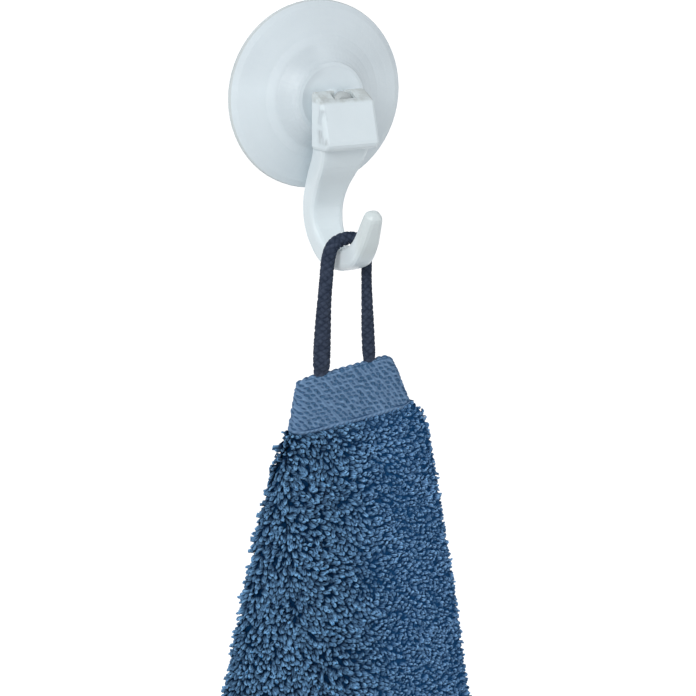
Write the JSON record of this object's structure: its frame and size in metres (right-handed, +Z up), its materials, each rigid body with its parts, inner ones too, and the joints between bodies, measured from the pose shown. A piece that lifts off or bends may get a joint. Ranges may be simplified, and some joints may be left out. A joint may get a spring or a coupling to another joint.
{
  "type": "towel on a hook",
  "caption": "Blue terry guest towel hanging by its cord loop from a white plastic suction-cup hook.",
  "frame": {"origin": "middle of the suction cup's wall face, which lies on the wall plane y = 0", "axes": "+Z up, -Y out of the wall towards the viewer, +X to the viewer's right"},
  "size_m": [0.1533, 0.0406, 0.6223],
  "materials": {
    "cup_plastic": "satin soft vinyl",
    "hook_plastic": "satin moulded plastic",
    "navy_cord": "braided cord",
    "blue_terry": "cotton terry loops with plain woven end bands"
  },
  "bodies": {
    "root": {"suction_cup": "cup_plastic", "hook": "hook_plastic", "hanging_loop": "navy_cord", "towel": "blue_terry"}
  },
  "joints": []
}
